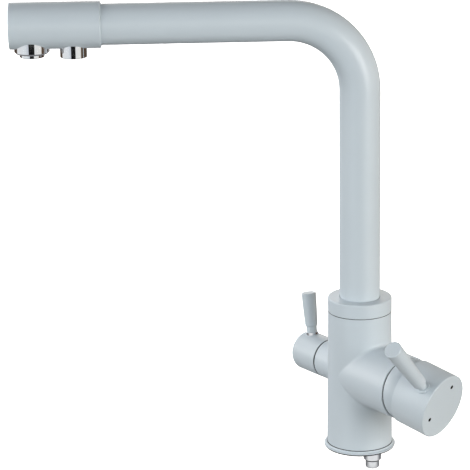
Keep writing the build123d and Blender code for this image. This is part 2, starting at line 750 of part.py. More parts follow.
# Mixer cartridge: foot with its port seals, ceramic discs, carrier and rotor in a housing
plate_low = cartridge_seat + port_seal_gap
plug_low = plate_low + foot_plate_height
foot_plate_top = plug_low + foot_plug_height
cartridge_foot = tube_piece(housing_radius, 0, plate_low, plug_low)
cartridge_foot += tube_piece(foot_plug_radius, 0, plug_low, foot_plate_top)
ports = [
    (supply_port_up, -supply_port_across, port_radius),
    (supply_port_up, supply_port_across, port_radius),
    (mixed_port_up, 0, mixed_port_radius),
]
seal_minor = port_seal_thickness / 2
seal_recess_radius = port_seal_radius + seal_minor + thread_gap
seal_recess_top = cartridge_seat + port_seal_thickness + thread_gap
port_seals = []
fixed_disc_top = foot_plate_top + ceramic_disc_height
fixed_disc = tube_piece(ceramic_disc_radius, 0, foot_plate_top, fixed_disc_top)
for up, across, radius in ports:
    port_place = Pos(up, across, 0)
    cartridge_foot -= port_place * tube_piece(radius, 0, plate_low - overrun, foot_plate_top + overrun)
    cartridge_foot -= port_place * tube_piece(seal_recess_radius, 0, plate_low - overrun, seal_recess_top)
    fixed_disc -= port_place * tube_piece(radius, 0, foot_plate_top - overrun, fixed_disc_top + overrun)
    seal_place = port_place * Pos(0, 0, cartridge_seat + seal_minor)
    port_seals.append(seal_place * Torus(port_seal_radius, seal_minor))
pieces["cartridge_foot"] = mixer_axis * cartridge_foot
pieces["cartridge_seals"] = mixer_axis * Compound(port_seals)
pieces["fixed_ceramic_disc"] = mixer_axis * fixed_disc
pieces["cartridge_housing"] = mixer_axis * turned([
    (housing_cavity_radius, plug_low),
    (housing_radius, plug_low),
    (housing_radius, housing_top),
    (housing_neck_radius, housing_top),
    (housing_neck_radius, housing_top + housing_neck_height),
    (housing_opening_radius, housing_top + housing_neck_height),
    (housing_opening_radius, housing_top - housing_top_wall),
    (housing_cavity_radius, housing_top - housing_top_wall),
])
rotor_top_seat = housing_top - housing_top_wall - running_gap
rotor_low = rotor_top_seat - rotor_height
rotor_neck_top = rotor_top_seat + rotor_neck_rise
rotor_radius = housing_cavity_radius - running_gap
disc_shift = stem_ball_reach * tilt_sine
disc_axis = handle_turned * Pos(disc_shift, 0, 0)
moving_low = fixed_disc_top + running_gap
moving_top = moving_low + moving_disc_height
moving_disc = tube_piece(moving_disc_radius, 0, moving_low, moving_top)
pieces["moving_ceramic_disc"] = disc_axis * moving_disc
carrier_top = rotor_low - carrier_rotor_gap
carrier_socket_floor = boss_reach - stem_ball_reach - stem_ball_radius - curved_gap
carrier = tube_piece(carrier_radius, 0, moving_top, carrier_top)
carrier -= tube_piece(stem_ball_radius + curved_gap, 0, carrier_socket_floor, carrier_top + overrun)
pieces["disc_carrier"] = disc_axis * carrier
rotor = tube_piece(rotor_radius, 0, rotor_low, rotor_top_seat)
rotor += tube_piece(housing_opening_radius - running_gap, 0, rotor_top_seat, rotor_neck_top)
slot_width = stem_width + 2 * stem_slot_gap
slot_half = stem_width / 2 / tilt_cosine + stem_slot_clearance
stem_slot_back = slot_half + (rotor_neck_top - boss_reach) * tilt_sine / tilt_cosine
stem_slot_front = slot_half + (boss_reach - rotor_low) * tilt_sine / tilt_cosine
slot = Box(
    stem_slot_back + stem_slot_front, slot_width, rotor_neck_top - rotor_low + 2 * overrun,
    align=(Align.MIN, Align.CENTER, Align.MIN),
)
rotor -= Pos(-stem_slot_back, 0, rotor_low - overrun) * slot
pin_axis = Pos(0, 0, boss_reach) * Rot(90, 0, 0)
pin_hole_reach = rotor_radius + overrun
rotor -= pin_axis * tube_piece(stem_pin_radius + running_gap, 0, -pin_hole_reach, pin_hole_reach)
pieces["cartridge_rotor"] = handle_turned * rotor
pin_reach = rotor_radius - edge_round
pieces["stem_pin"] = handle_turned * pin_axis * tube_piece(stem_pin_radius, 0, -pin_reach, pin_reach)

# Clamp nut that holds the cartridge, and the dome ring that the cap rides over
pieces["clamp_nut"] = mixer_axis * turned([
    (cartridge_bore_radius, nut_start),
    (nut_bore_radius - thread_gap, nut_start),
    (nut_bore_radius - thread_gap, boss_reach),
    (nut_outer_radius, boss_reach),
    (nut_outer_radius, nut_end),
    (nut_lip_radius, nut_end),
    (nut_lip_radius, housing_top),
    (cartridge_bore_radius, housing_top),
])
dome_start = boss_reach + dome_start_gap
dome_end = boss_reach + dome_reach
dome = Pos(0, 0, boss_reach) * (Sphere(dome_radius) - Sphere(dome_radius - dome_wall))
dome += tube_piece(dome_radius - dome_wall / 2, nut_outer_radius + thread_gap, dome_start, nut_end)
dome = dome & tube_piece(dome_radius + overrun, 0, dome_start, dome_end)
dome -= tube_piece(nut_outer_radius + thread_gap, 0, dome_start - overrun, nut_end)
pieces["dome_ring"] = mixer_axis * dome

# Handle: the stem with its ball end, the cap, the lever rod and the small fixings
stem = Box(stem_width, stem_width, stem_length + stem_ball_neck, align=on_base)
stem = Pos(0, 0, -stem_ball_neck) * stem
stem += Pos(0, 0, -stem_ball_reach) * Sphere(stem_ball_radius)
stem += tube_piece(stem_ball_radius - edge_round, 0, -stem_ball_reach, 0)
stem -= Rot(90, 0, 0) * tube_piece(stem_pin_radius + running_gap, 0, -stem_width, stem_width)
pieces["lever_stem"] = handle_axis * stem
slant = Rot(0, -cap_end_slant, 0)
cap_end = Pos(0, 0, cap_reach) * slant
cap = tube_piece(cap_radius, 0, cap_rim, cap_reach + cap_radius)
cap_beyond = Box(4 * cap_radius, 4 * cap_radius, 2 * cap_radius, align=on_base)
cap -= cap_end * cap_beyond
cap = fillet(cap.edges().group_by(Axis.Z)[-1], cap_end_round)
cap_floor = cap_reach - cap_end_wall
cap -= tube_piece(cap_bore_radius, cap_hub_radius, cap_rim - overrun, cap_floor)
cap -= tube_piece(cap_hub_radius + overrun, 0, cap_rim - overrun, cap_hub_start)
rod_axis = Pos(cap_radius, 0, rod_place) * Rot(0, 90 + rod_lean, 0)
rod_boss = Pos(0, 0, rod_place) * Rot(0, 90 + rod_lean, 0) * tube_piece(
    rod_boss_radius, 0, cap_hub_radius / 2, cap_bore_radius + cap_wall / 2
)
cap += rod_boss
socket_width = stem_width + 2 * thread_gap
stem_socket = Box(socket_width, socket_width, stem_length - cap_hub_start + overrun, align=on_base)
cap -= Pos(0, 0, cap_hub_start - overrun) * stem_socket
cap -= rod_axis * tube_piece(rod_stud_radius + thread_gap, 0, -rod_stud_length - thread_gap, overrun)
grub_axis = Pos(0, 0, grub_place) * Rot(0, -90, 0)
cap -= grub_axis * tube_piece(grub_radius + thread_gap, 0, stem_width / 2, cap_hub_radius + overrun)
cap -= grub_axis * tube_piece(grub_way_radius, 0, cap_hub_radius + overrun / 2, cap_radius + overrun)
grub = tube_piece(grub_radius, 0, stem_width / 2, stem_width / 2 + grub_length)
grub_end = stem_width / 2 + grub_length
grub -= tube_piece(grub_key_radius, 0, grub_end - grub_key_depth, grub_end + overrun)
dots = []
for side in (-1, 1):
    dot_place = cap_end * Pos(dot_up, side * dot_across, 0)
    cap -= dot_place * tube_piece(dot_radius + thread_gap, 0, -dot_depth, overrun)
    dots.append(dot_place * tube_piece(dot_radius, 0, -dot_depth, 0))
pieces["mixer_cap"] = handle_axis * cap
pieces["index_dots"] = handle_axis * Compound(dots)
pieces["mixer_grub_screw"] = handle_axis * grub_axis * grub
rod_lift = rod_neck_radius * math.tan(math.radians(rod_lean))
rod = turned([
    (0, -rod_stud_length),
    (rod_stud_radius, -rod_stud_length),
    (rod_stud_radius, rod_lift),
    (rod_neck_radius, rod_lift),
    (rod_neck_radius, rod_neck_length),
    (rod_root_radius, rod_neck_length + rod_shoulder),
    (rod_tip_radius, rod_length - rod_tip_round),
    (rod_tip_radius - rod_tip_round, rod_length),
    (0, rod_length),
])
pieces["mixer_lever_rod"] = handle_axis * rod_axis * rod
seat = rod_axis * tube_piece(seat_radius, rod_neck_radius + thread_gap, -seat_radius, seat_height)
seat -= tube_piece(cap_radius, 0, 0, cap_reach + overrun)
pieces["mixer_lever_seat"] = handle_axis * seat

# Filter valve: seal, ceramic discs, headwork and spindle
seal_top = valve_seat + valve_seal_height
valve_fixed_top = seal_top + valve_disc_height
valve_moving_low = valve_fixed_top + running_gap
valve_moving_top = valve_moving_low + valve_moving_height
driver_top = valve_moving_top + valve_driver_height
valve_seal = tube_piece(valve_disc_radius, 0, valve_seat, seal_top)
valve_fixed = tube_piece(valve_disc_radius, 0, seal_top, valve_fixed_top)
for up in (-valve_port_offset, valve_port_offset):
    port_hole = tube_piece(filter_passage_radius, 0, valve_seat - overrun, valve_fixed_top + overrun)
    port = Pos(up, 0, 0) * port_hole
    valve_seal -= port
    valve_fixed -= port
valve_moving = tube_piece(valve_moving_radius, 0, valve_moving_low, valve_moving_top)
valve_window = Box(
    2 * valve_port_offset, 2 * filter_passage_radius, valve_moving_height / 2, align=on_base
)
valve_moving -= Pos(0, 0, valve_moving_low) * valve_window
pieces["valve_seat_seal"] = valve_axis * valve_seal
pieces["valve_fixed_disc"] = valve_axis * valve_fixed
pieces["valve_moving_disc"] = valve_axis * valve_moving
spindle_groove_end = spindle_groove_place + spindle_groove_width
spindle_groove_radius = spindle_radius - spindle_groove_depth
clip_low = valve_boss_reach + headwork_neck_height + running_gap
clip_top = clip_low + clip_height
clip_floor = spindle_radius - clip_groove_depth
pieces["valve_spindle"] = valve_axis * turned([
    (0, valve_moving_top),
    (valve_moving_radius, valve_moving_top),
    (valve_moving_radius, driver_top),
    (spindle_radius, driver_top),
    (spindle_radius, spindle_groove_place),
    (spindle_groove_radius, spindle_groove_place),
    (spindle_groove_radius, spindle_groove_end),
    (spindle_radius, spindle_groove_end),
    (spindle_radius, clip_low),
    (clip_floor, clip_low),
    (clip_floor, clip_top),
    (spindle_radius, clip_top),
    (spindle_radius, spindle_reach),
    (0, spindle_reach),
])
spindle_ring_minor = (spindle_groove_depth - running_gap) / 2
spindle_ring_place = (spindle_groove_place + spindle_groove_end) / 2
spindle_ring = Torus(spindle_radius - spindle_ring_minor, spindle_ring_minor)
pieces["spindle_o_ring"] = valve_axis * Pos(0, 0, spindle_ring_place) * spindle_ring
clip_radius = clip_floor + clip_width
clip = tube_piece(clip_radius, clip_floor + thread_gap, clip_low, clip_top)
clip -= Pos(0, 0, clip_low - overrun) * Box(
    2 * clip_radius, clip_mouth, clip_height + 2 * overrun, align=(Align.MIN, Align.CENTER, Align.MIN)
)
pieces["spindle_clip"] = valve_axis * clip
headwork_bore = spindle_radius + running_gap
headwork_cavity_end = valve_fixed_top + valve_cavity_height
pieces["valve_headwork"] = valve_axis * turned([
    (valve_cavity_radius, valve_fixed_top),
    (valve_bore_radius - thread_gap, valve_fixed_top),
    (valve_bore_radius - thread_gap, valve_boss_reach),
    (headwork_flange_radius, valve_boss_reach),
    (headwork_flange_radius, valve_boss_reach + headwork_flange_height),
    (headwork_neck_radius, valve_boss_reach + headwork_flange_height),
    (headwork_neck_radius, valve_boss_reach + headwork_neck_height),
    (headwork_bore, valve_boss_reach + headwork_neck_height),
    (headwork_bore, headwork_cavity_end),
    (valve_cavity_radius, headwork_cavity_end),
])

# Filter valve's cap and lever
small_cap_blank = tube_piece(small_cap_radius, 0, small_cap_start, small_cap_end)
small_cap = rounded(small_cap_blank, Axis.Z, (-1,), small_cap_round)
small_cap -= tube_piece(small_cavity_radius, 0, small_cap_start - overrun, small_cavity_end)
spindle_hole_end = spindle_reach + thread_gap
small_cap -= tube_piece(spindle_radius + thread_gap, 0, small_cavity_end - overrun, spindle_hole_end)
small_rod_axis = Pos(small_cap_radius, 0, small_rod_place) * Rot(0, 90 - small_rod_lean, 0)
small_rod_lift = small_rod_neck_radius * math.tan(math.radians(small_rod_lean))
small_cap -= small_rod_axis * tube_piece(
    small_rod_stud_radius + thread_gap, 0, -small_rod_stud_length - thread_gap, overrun
)
small_grub_axis = Pos(0, 0, small_rod_place) * Rot(0, -90, 0)
small_grub_start = spindle_radius + thread_gap
small_cap -= small_grub_axis * tube_piece(
    small_grub_radius + thread_gap, 0, 0, small_cap_radius + overrun
)
small_grub_end = small_grub_start + small_grub_length
small_grub = tube_piece(small_grub_radius, 0, small_grub_start, small_grub_end)
small_grub -= tube_piece(small_grub_key_radius, 0, small_grub_end - grub_key_depth, small_grub_end + overrun)
pieces["filter_cap"] = valve_axis * small_cap
pieces["filter_grub_screw"] = valve_axis * small_grub_axis * small_grub
small_grip_length = small_rod_length - small_rod_neck_length
small_belly_height = small_rod_neck_length + small_grip_length * small_rod_belly_share
pieces["filter_lever_rod"] = valve_axis * small_rod_axis * turned([
    (0, -small_rod_stud_length),
    (small_rod_stud_radius, -small_rod_stud_length),
    (small_rod_stud_radius, small_rod_lift),
    (small_rod_neck_radius, small_rod_lift),
    (small_rod_neck_radius, small_rod_neck_length),
    (small_rod_belly_radius - edge_round, small_rod_neck_length + small_rod_shoulder),
    (small_rod_belly_radius, small_belly_height),
    (small_rod_tip_radius, small_rod_length - rod_tip_round),
    (small_rod_tip_radius - rod_tip_round, small_rod_length),
    (0, small_rod_length),
])
small_seat = small_rod_axis * tube_piece(
    small_seat_radius, small_rod_neck_radius + thread_gap, -small_seat_radius, small_seat_height
)
small_seat -= tube_piece(small_cap_radius, 0, small_cap_start, small_cap_end)
pieces["filter_lever_seat"] = valve_axis * small_seat

os.makedirs("parts", exist_ok=True)
for node, piece in pieces.items():
    export_step(piece, f"parts/{node}.step")
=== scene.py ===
import bpy
import bmesh
import json
import math
from mathutils import Matrix, Vector


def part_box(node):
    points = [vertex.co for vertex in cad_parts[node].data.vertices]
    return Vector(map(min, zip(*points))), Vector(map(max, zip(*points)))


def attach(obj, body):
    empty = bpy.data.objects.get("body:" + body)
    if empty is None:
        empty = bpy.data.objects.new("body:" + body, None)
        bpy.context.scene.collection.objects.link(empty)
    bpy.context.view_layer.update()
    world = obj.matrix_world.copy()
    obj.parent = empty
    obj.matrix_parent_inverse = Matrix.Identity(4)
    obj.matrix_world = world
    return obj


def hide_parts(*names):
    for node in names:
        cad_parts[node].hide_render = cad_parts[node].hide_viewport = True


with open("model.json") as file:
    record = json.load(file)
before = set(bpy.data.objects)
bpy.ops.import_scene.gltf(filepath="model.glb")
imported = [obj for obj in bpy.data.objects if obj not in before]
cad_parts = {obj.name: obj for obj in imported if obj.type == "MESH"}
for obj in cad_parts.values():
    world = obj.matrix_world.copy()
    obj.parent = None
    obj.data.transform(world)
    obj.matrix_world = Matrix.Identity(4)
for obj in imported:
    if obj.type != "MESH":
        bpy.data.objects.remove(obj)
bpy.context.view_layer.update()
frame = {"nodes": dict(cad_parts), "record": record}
print("frame loaded")


# Shader maths: a socket that adds its own Math nodes when it is used in an expression

class Signal:
    def __init__(self, finish, socket):
        self.finish = finish
        self.socket = socket

    def maths(self, operation, first, second):
        return self.finish.maths(operation, first, second)

    def __add__(self, other):
        return self.maths("ADD", self, other)

    def __mul__(self, other):
        return self.maths("MULTIPLY", self, other)

    def __radd__(self, other):
        return self.maths("ADD", other, self)

    def __rmul__(self, other):
        return self.maths("MULTIPLY", other, self)


# The nodes of one material, or of the world

class Finish:
    def __init__(self, owner):
        owner.use_nodes = True
        self.owner = owner
        self.tree = owner.node_tree
        self.tree.nodes.clear()

    def node(self, kind, settings, inputs, output=0):
        made = self.tree.nodes.new(kind)
        for key, value in settings.items():
            if key == "stops":
                self.setStops(made.color_ramp, value)
            else:
                setattr(made, key, value)
        for key, value in inputs.items():
            if isinstance(value, Signal):
                self.tree.links.new(value.socket, made.inputs[key])
            else:
                made.inputs[key].default_value = value
        if not made.outputs:
            return None
        return Signal(self, made.outputs[output])

    def setStops(self, ramp, stops):
        while len(ramp.elements) < len(stops):
            ramp.elements.new(1.0)
        for element, (place, shade) in zip(ramp.elements, stops):
            element.position = place
            element.color = (*shade, 1.0)

    def maths(self, operation, first, second):
        return self.node("ShaderNodeMath", {"operation": operation}, {0: first, 1: second})

    def coordinates(self):
        return self.node("ShaderNodeTexCoord", {}, {}, "Object")

    def noise(self, scale, detail=3.0, roughness=0.5):
        sockets = {
            "Vector": self.coordinates(),
            "Scale": scale,
            "Detail": detail,
            "Roughness": roughness,
        }
        return self.node("ShaderNodeTexNoise", {}, sockets)

    def between(self, factor, low, high):
        # From low to high, as the factor goes from 0 to 1
        sockets = {"Value": factor, "To Min": low, "To Max": high}
        return self.node("ShaderNodeMapRange", {}, sockets)

    def share(self, value, low, high):
        # How far a value is from low to high, kept between 0 and 1
        sockets = {"Value": value, "From Min": low, "From Max": high}
        return self.node("ShaderNodeMapRange", {}, sockets)

    def blendColours(self, factor, first, second):
        sockets = {"Factor": factor, 6: first, 7: second}  # 6, 7 and output 2 are the colours
        return self.node("ShaderNodeMix", {"data_type": "RGBA"}, sockets, 2)

    def bump(self, height, strength, distance):
        sockets = {"Height": height, "Strength": strength, "Distance": distance}
        return self.node("ShaderNodeBump", {}, sockets)

    def surface(self, inputs):
        shader = self.node("ShaderNodeBsdfPrincipled", {}, inputs)
        self.node("ShaderNodeOutputMaterial", {}, {"Surface": shader})
        return self.owner


def linear(red, green, blue):
    # A colour as it looks on screen, 0 to 255, turned into Blender's linear values
    shade = []
    for value in (red, green, blue):
        part = value / 255
        shade.append(part / 12.92 if part <= 0.04045 else ((part + 0.055) / 1.055) ** 2.4)
    return (*shade, 1.0)


def newFinish(name):
    return Finish(bpy.data.materials.new(name))


# Satin grey paint on the outer metal. Roughness goes from the first value to the second.

paintLook = {
    "dark": (189, 200, 208),
    "light": (196, 206, 213),
    "cloudScale": 24.0,
    "grainScale": 2600.0,
    "grainShare": 0.3,
    "roughness": (0.35, 0.43),
    "specular": 0.35,
    "coat": 0.1,
    "coatRoughness": 0.18,
    "peelScale": 620,
    "peelStrength": 0.35,
    "peelDepth": 0.000015,
}


def makePaint(name, look):
    finish = newFinish(name)
    cloud = finish.noise(look["cloudScale"], detail=2.0)
    grain = finish.noise(look["grainScale"], detail=1.0)
    peel = finish.noise(look["peelScale"], detail=2.0)
    mottle = cloud * (1 - look["grainShare"]) + grain * look["grainShare"]
    return finish.surface({
        "Base Color": finish.blendColours(mottle, linear(*look["dark"]), linear(*look["light"])),
        "Roughness": finish.between(cloud, *look["roughness"]),
        "Specular IOR Level": look["specular"],
        "Coat Weight": look["coat"],
        "Coat Roughness": look["coatRoughness"],
        "Normal": finish.bump(peel, look["peelStrength"], look["peelDepth"]),
    })


# Polished chrome on the outlets

chromeLook = {
    "dark": (214, 216, 219),
    "light": (226, 228, 230),
    "roughness": (0.035, 0.085),
    "hazeScale": 160.0,
    "swirlScale": 900,
    "swirlStrength": 0.08,
    "swirlDepth": 0.000002,
}


def makeChrome(name, look):
    finish = newFinish(name)
    haze = finish.noise(look["hazeScale"])
    swirl = finish.noise(look["swirlScale"], detail=4.0)
    return finish.surface({
        "Base Color": finish.blendColours(haze, linear(*look["dark"]), linear(*look["light"])),
        "Metallic": 1.0,
        "Roughness": finish.between(haze, *look["roughness"]),
        "Normal": finish.bump(swirl, look["swirlStrength"], look["swirlDepth"]),
    })


# Turned metal with fine uneven tool marks

metalMarks = {"scale": 1500.0, "strength": 0.25, "depth": 0.00001, "tarnishScale": 90.0}
steelLook = {"dark": (150, 151, 150), "light": (182, 183, 182), "roughness": (0.26, 0.40)}
brassLook = {"dark": (176, 141, 78), "light": (201, 168, 103), "roughness": (0.24, 0.38)}


def makeMetal(name, look):
    finish = newFinish(name)
    marks = finish.noise(metalMarks["scale"], detail=5.0, roughness=0.6)
    tarnish = finish.noise(metalMarks["tarnishScale"])
    return finish.surface({
        "Base Color": finish.blendColours(tarnish, linear(*look["dark"]), linear(*look["light"])),
        "Metallic": 1.0,
        "Roughness": finish.between(marks, *look["roughness"]),
        "Normal": finish.bump(marks, metalMarks["strength"], metalMarks["depth"]),
    })


# Moulded plastic, rubber and fired ceramic: fine grain and a faint change of shade

mouldedMarks = {"cloudScale": 60.0, "grainStrength": 0.4}
rubberLook = {
    "dark": (18, 18, 19), "light": (30, 30, 31), "roughness": (0.57, 0.69),
    "grainScale": 2200.0, "grainDepth": 0.00003, "specular": 0.2,
}
whiteLook = {
    "dark": (226, 226, 221), "light": (238, 238, 234), "roughness": (0.37, 0.49),
    "grainScale": 1300.0, "grainDepth": 0.00001, "specular": 0.5,
}
greyLook = {
    "dark": (92, 95, 98), "light": (112, 115, 118), "roughness": (0.40, 0.52),
    "grainScale": 1300.0, "grainDepth": 0.00001, "specular": 0.5,
}
blackLook = {
    "dark": (5, 5, 6), "light": (10, 10, 11), "roughness": (0.45, 0.57),
    "grainScale": 1300.0, "grainDepth": 0.00001, "specular": 0.1,
}
ceramicLook = {
    "dark": (232, 229, 220), "light": (241, 239, 233), "roughness": (0.09, 0.21),
    "grainScale": 2600.0, "grainDepth": 0.000002, "specular": 0.5,
}


def makeMoulded(name, look):
    finish = newFinish(name)
    cloud = finish.noise(mouldedMarks["cloudScale"], detail=2.0)
    grain = finish.noise(look["grainScale"])
    return finish.surface({
        "Base Color": finish.blendColours(cloud, linear(*look["dark"]), linear(*look["light"])),
        "Roughness": finish.between(grain, *look["roughness"]),
        "Specular IOR Level": look["specular"],
        "Normal": finish.bump(grain, mouldedMarks["grainStrength"], look["grainDepth"]),
    })


finishes = {
    "paint": makePaint("satinPaint", paintLook),
    "chrome": makeChrome("polishedChrome", chromeLook),
    "steel": makeMetal("turnedSteel", steelLook),
    "brass": makeMetal("turnedBrass", brassLook),
    "black_rubber": makeMoulded("blackRubber", rubberLook),
    "white_plastic": makeMoulded("whitePlastic", whiteLook),
    "grey_plastic": makeMoulded("greyPlastic", greyLook),
    "black_plastic": makeMoulded("blackPlastic", blackLook),
    "disc_ceramic": makeMoulded("discCeramic", ceramicLook),
}
for part in frame["record"]["subparts"]:
    node = frame["nodes"][part["node"]]
    for holder in node.material_slots:
        holder.material = finishes[part["material_slot"]]
print("finishes on the nodes")


def addObject(name, data):
    made = bpy.data.objects.new(name, data)
    bpy.context.scene.collection.objects.link(made)
    return made


def meshObject(name, shape, material):
    # A finished bmesh becomes an object
    mesh = bpy.data.meshes.new(name)
    shape.to_mesh(mesh)
    shape.free()
    mesh.materials.append(material)
    return addObject(name, mesh)


def middleOf(*names):
    # The middle of the boxes of some nodes
    corners = [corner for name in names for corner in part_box(name)]
    return sum(corners, Vector()) / len(corners)


# Dark rings at the joints: the black rubber lip of the base gasket, and black rings that paint
# shade, as a band at the foot and as rings in the gaps at the collar and both bosses

# Each ring's radii and its span along its axis are in metres. The axis is up through the tap,
# or level through a boss.
gasketLipAndPaintedShadeRings = {
    # Painted shade: a black rubber band just above the base ring's crest, put there to draw the
    # shadow line at the tap's foot
    "foot_painted_shade_lip": {
        "body": "tap_body", "slot": "black_rubber", "axis": "up",
        "radii": (0.02455, 0.0250), "span": (0.00335, 0.0039),
    },
    "gasket_lip": {
        "body": "tap_body", "slot": "black_rubber", "axis": "up",
        "radii": (0.0248, 0.0266), "span": (0.0001, 0.00115),
    },
    # Painted shade: a black ring in the seam between the collar and the body, which darkens the
    # seam as its shade would
    "collar_painted_shade_ring": {
        "body": "tap_body", "slot": "black_plastic", "axis": "up",
        "radii": (0.0234, 0.02399), "span": (0.10789, 0.10819),
    },
    # Painted shade: a black ring in the gap between the mixer boss and the dome ring, which
    # darkens the gap as its shade would
    "mixer_painted_shade_ring": {
        "body": "tap_body", "slot": "black_plastic", "axis": "mixer",
        "radii": (0.0195, 0.02315), "span": (0.05395, 0.05475),
    },
    # Painted shade: a black ring in the gap between the filter boss and its cap, which darkens
    # the gap as its shade would
    "filter_painted_shade_ring": {
        "body": "tap_body", "slot": "black_plastic", "axis": "filter",
        "radii": (0.0131, 0.01475), "span": (0.03685, 0.03775),
    },
}
ringMaking = {"steps": 96, "chamferShare": 0.2}
# The node that a boss's axis runs through, and the axis's turn from upright in degrees
bossAxes = {"mixer": ("dome_ring", 90), "filter": ("filter_cap", -90)}


def ringAxis(name):
    if name == "up":
        return Matrix.Identity(4)
    holder, turn = bossAxes[name]
    height = middleOf(holder).z
    return Matrix.Translation((0, 0, height)) @ Matrix.Rotation(math.radians(turn), 4, "Y")


def makeRing(name, body, slot, axis, radii, span):
    inner, outer = radii
    start, end = span
    edge = min(outer - inner, end - start) * ringMaking["chamferShare"]
    profile = [
        (inner, start), (outer - edge, start), (outer, start + edge),
        (outer, end - edge), (outer - edge, end), (inner, end),
    ]
    shape = bmesh.new()
    corners = [shape.verts.new((across, 0, along)) for across, along in profile]
    sides = [shape.edges.new(pair) for pair in zip(corners, corners[1:] + corners[:1])]
    bmesh.ops.spin(shape, geom=corners + sides, cent=(0, 0, 0), axis=(0, 0, 1), dvec=(0, 0, 0),
                   angle=2 * math.pi, steps=ringMaking["steps"], use_merge=True)
    bmesh.ops.recalc_face_normals(shape, faces=shape.faces)
    bmesh.ops.transform(shape, matrix=ringAxis(axis), verts=shape.verts)
    ring = meshObject(name, shape, finishes[slot])
    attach(ring, body)


for ringName, ringSettings in gasketLipAndPaintedShadeRings.items():
    makeRing(ringName, **ringSettings)
print("trim rings made")


# Index dots: the pair in the mixer cap's end, a little larger than the flat solids that they
# replace, and domed at the edge

indexDots = {
    "spread": 1.4,
    "round": 0.0002,
    "roundSteps": 2,
    "mergeReach": 0.000001,
    "flatAngle": 0.02,
    "sharpAngle": 1.0,
}


def looseParts(shape):
    # The corners of each separate part of a mesh
    parts = []
    waiting = set(shape.verts)
    while waiting:
        found = [min(waiting, key=lambda vert: vert.index)]
        waiting.discard(found[0])
        for vert in found:
            for edge in vert.link_edges:
                other = edge.other_vert(vert)
                if other in waiting:
                    waiting.discard(other)
                    found.append(other)
        parts.append(found)
    return parts


def isSharp(edge, angle):
    return len(edge.link_faces) == 2 and edge.calc_face_angle() > angle


def makeIndexDots(settings):
    shape = bmesh.new()
    shape.from_mesh(frame["nodes"]["index_dots"].data)
    bmesh.ops.remove_doubles(shape, verts=shape.verts, dist=settings["mergeReach"])
    for dot in looseParts(shape):
        middle = sum((vert.co for vert in dot), Vector()) / len(dot)
        bmesh.ops.scale(shape, vec=(settings["spread"],) * 3, verts=dot,
                        space=Matrix.Translation(-middle))
    bmesh.ops.dissolve_limit(shape, angle_limit=settings["flatAngle"], verts=shape.verts,
                             edges=shape.edges)
    rims = [edge for edge in shape.edges if isSharp(edge, settings["sharpAngle"])]
    bmesh.ops.bevel(shape, geom=rims, offset=settings["round"], segments=settings["roundSteps"],
                    affect="EDGES", profile=0.5, material=-1, clamp_overlap=True)
    dots = meshObject("domed_index_dots", shape, finishes["black_plastic"])
    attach(dots, "mixer_handle")
    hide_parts("index_dots")


makeIndexDots(indexDots)
print("index dots made")


# Camera, as the photograph was taken: angles in degrees, lens in millimetres, the rest in metres

cameraView = {
    "azimuth": 53.3,
    "elevation": 16.5,
    "roll": -0.82,
    "distance": 1.8,
    "aim": (-0.0557, -0.0747, 0.1683),
    "lens": 184.7,
    "farthest": 60,
}


def placeCamera(view):
    # Gives back the level ways to the camera's right and towards the camera
    turn = math.radians(view["azimuth"])
    down = math.radians(view["elevation"])
    roll = math.radians(view["roll"])
    level = Vector((math.cos(turn), math.sin(turn), 0))
    towards = Vector((math.sin(turn), -math.cos(turn), 0))
    ahead = -towards * math.cos(down) - Vector((0, 0, math.sin(down)))
    upright = level.cross(ahead)
    right = level * math.cos(roll) + upright * math.sin(roll)
    top = upright * math.cos(roll) - level * math.sin(roll)
    data = bpy.data.cameras.new("photoCamera")
    data.lens = view["lens"]
    data.clip_end = view["farthest"]
    camera = addObject("photoCamera", data)
    place = Matrix((right, top, -ahead)).transposed().to_4x4()
    place.translation = Vector(view["aim"]) - ahead * view["distance"]
    camera.matrix_world = place
    bpy.context.scene.camera = camera
    return level, towards


cameraRight, cameraFront = placeCamera(cameraView)
print("camera placed")


# Rays: what the camera sees straight on or through glass is white, and gloss sees cards

def lightPath(finish, name):
    return finish.node("ShaderNodeLightPath", {}, {}, name)


def seenStraight(finish):
    through = lightPath(finish, "Is Transmission Ray")
    return finish.maths("MAXIMUM", lightPath(finish, "Is Camera Ray"), through)


def vectorMaths(finish, operation, inputs, output=0):
    return finish.node("ShaderNodeVectorMath", {"operation": operation}, inputs, output)


def wayFrom(finish, point):
    return vectorMaths(finish, "SUBTRACT", {0: finish.coordinates(), 1: point})


def lengthOf(finish, way):
    return vectorMaths(finish, "LENGTH", {0: way}, "Value")


def along(finish, way, direction):
    return vectorMaths(finish, "DOT_PRODUCT", {0: way, 1: direction}, "Value")


def opaque(shade):
    return (*shade, 1.0)


def grey(level):
    return opaque((level,) * 3)


# World: white behind the tap, and a dim room in gloss and metal

worldLook = {"horizon": 0.35, "zenith": 0.2}


def buildWorld(look):
    world = bpy.data.worlds.new("studioWorld")
    bpy.context.scene.world = world
    finish = Finish(world)
    height = finish.node("ShaderNodeSeparateXYZ", {}, {0: finish.coordinates()}, "Z")
    room = finish.between(height, look["horizon"], look["zenith"])
    strength = seenStraight(finish) + lightPath(finish, "Is Glossy Ray") * room
    light = finish.node("ShaderNodeBackground", {}, {"Color": grey(1.0), "Strength": strength})
    finish.node("ShaderNodeOutputWorld", {}, {"Surface": light})


# Cards: what polished metal shows of the floor. Close by it is white on the camera's side of the
# nipple and grey behind, by the cosine closeFacing. The dark and light cards lie between start
# and end, in metres from the outlets, and the rest is grey. A stop's place is a share of the
# turn round the outlets: 0 is away from the camera, 0.25 to its left, 0.5 towards it.

